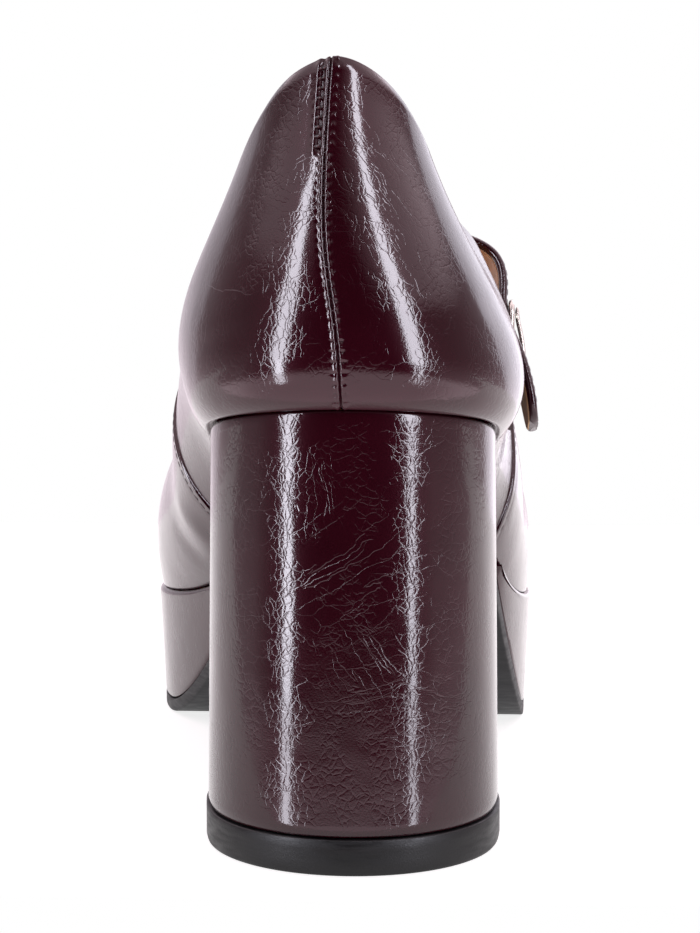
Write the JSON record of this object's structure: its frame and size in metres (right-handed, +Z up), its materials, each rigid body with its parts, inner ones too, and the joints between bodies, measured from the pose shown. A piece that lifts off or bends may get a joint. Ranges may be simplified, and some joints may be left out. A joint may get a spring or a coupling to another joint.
{
  "type": "platform mary jane shoe",
  "caption": "Right platform mary jane with a covered block heel, low open throat, high back and a buckled strap over the instep.",
  "frame": {"origin": "middle of the bounding box's bottom, on the floor that the top lift and the forefoot stand on", "axes": "+Y along the shoe towards the toe, +X towards the outer side of the foot, +Z up"},
  "size_m": [0.0932, 0.2336, 0.1388],
  "materials": {
    "upper": "crinkled burgundy patent leather",
    "insole": "matt tan lining leather",
    "platform": "crinkled burgundy patent leather cover",
    "outsole": "matt black rubber",
    "heel_block": "crinkled burgundy patent leather cover",
    "top_lift": "satin black rubber",
    "strap": "crinkled burgundy patent leather with a tan lining",
    "buckle_tab": "burgundy patent leather",
    "buckle_frame": "polished nickel plate",
    "buckle_prong": "polished nickel plate"
  },
  "bodies": {
    "root": {"upper": "upper", "insole": "insole", "platform": "platform", "outsole": "outsole", "heel_block": "heel_block", "top_lift": "top_lift", "strap": "strap", "buckle_tab": "buckle_tab", "buckle_frame": "buckle_frame", "buckle_prong": "buckle_prong"}
  },
  "joints": []
}
